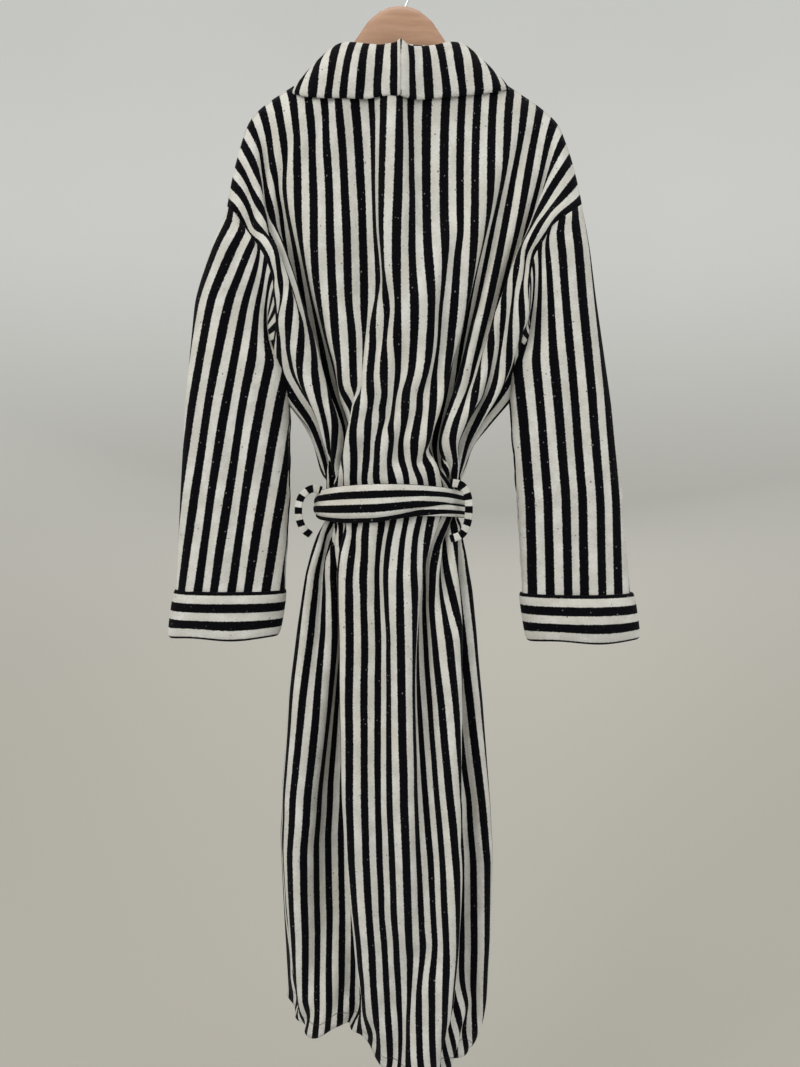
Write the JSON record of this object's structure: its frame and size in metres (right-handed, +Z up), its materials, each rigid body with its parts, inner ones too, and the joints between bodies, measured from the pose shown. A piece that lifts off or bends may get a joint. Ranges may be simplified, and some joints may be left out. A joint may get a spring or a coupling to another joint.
{
  "type": "bathrobe",
  "caption": "Striped terry bathrobe with a shawl collar, turned-back cuffs and a tied belt, hanging on a wooden hanger with a swivel hook.",
  "frame": {"origin": "inner top of the hanger's hook, where the rail bears", "axes": "+Z up, the robe's back faces -Y and its front opening faces +Y, +X towards the wearer's right sleeve"},
  "size_m": [0.6012, 0.2217, 1.3996],
  "materials": {
    "hook_steel": "polished wire",
    "hanger_wood": "satin varnish",
    "terry_body": "terry pile, black and cream stripes lengthwise",
    "terry_collar": "terry pile, black and cream stripes",
    "terry_belt": "terry pile, black and cream stripes lengthwise",
    "terry_trim": "terry pile, black and cream stripes"
  },
  "bodies": {
    "hook": {"hanger_hook": "hook_steel"},
    "robe": {"hanger_wood": "hanger_wood", "back_panel": "terry_body", "front_panel_left": "terry_body", "front_panel_right": "terry_body", "collar_left": "terry_collar", "collar_right": "terry_collar", "belt_band": "terry_belt", "belt_knot": "terry_belt", "belt_loop_left": "terry_trim", "belt_loop_right": "terry_trim", "pocket_left": "terry_trim", "pocket_right": "terry_trim"},
    "sleeve_left": {"sleeve_left": "terry_body", "cuff_left": "terry_collar"},
    "sleeve_right": {"sleeve_right": "terry_body", "cuff_right": "terry_collar"},
    "belt_tail_left": {"belt_tail_left": "terry_belt"},
    "belt_tail_right": {"belt_tail_right": "terry_belt"}
  },
  "joints": [
    {"name": "hook_swivel", "type": "hinge", "parent": "hook", "child": "robe", "pos_m": [0, 0, -0.085], "axis": [0, 0, 1], "continuous": true},
    {"name": "sleeve_left_swing", "type": "hinge", "parent": "robe", "child": "sleeve_left", "pos_m": [-0.2165, 0, -0.3045], "axis": [0, 1, 0], "range_deg": [0, 60]},
    {"name": "sleeve_right_swing", "type": "hinge", "parent": "robe", "child": "sleeve_right", "pos_m": [0.2165, 0, -0.3045], "axis": [0, -1, 0], "range_deg": [0, 60]},
    {"name": "belt_tail_left_swing", "type": "hinge", "parent": "robe", "child": "belt_tail_left", "pos_m": [-0.009, 0.105, -0.718], "axis": [0, 1, 0], "range_deg": [-25, 25]},
    {"name": "belt_tail_right_swing", "type": "hinge", "parent": "robe", "child": "belt_tail_right", "pos_m": [0.009, 0.112, -0.718], "axis": [0, 1, 0], "range_deg": [-25, 25]}
  ]
}
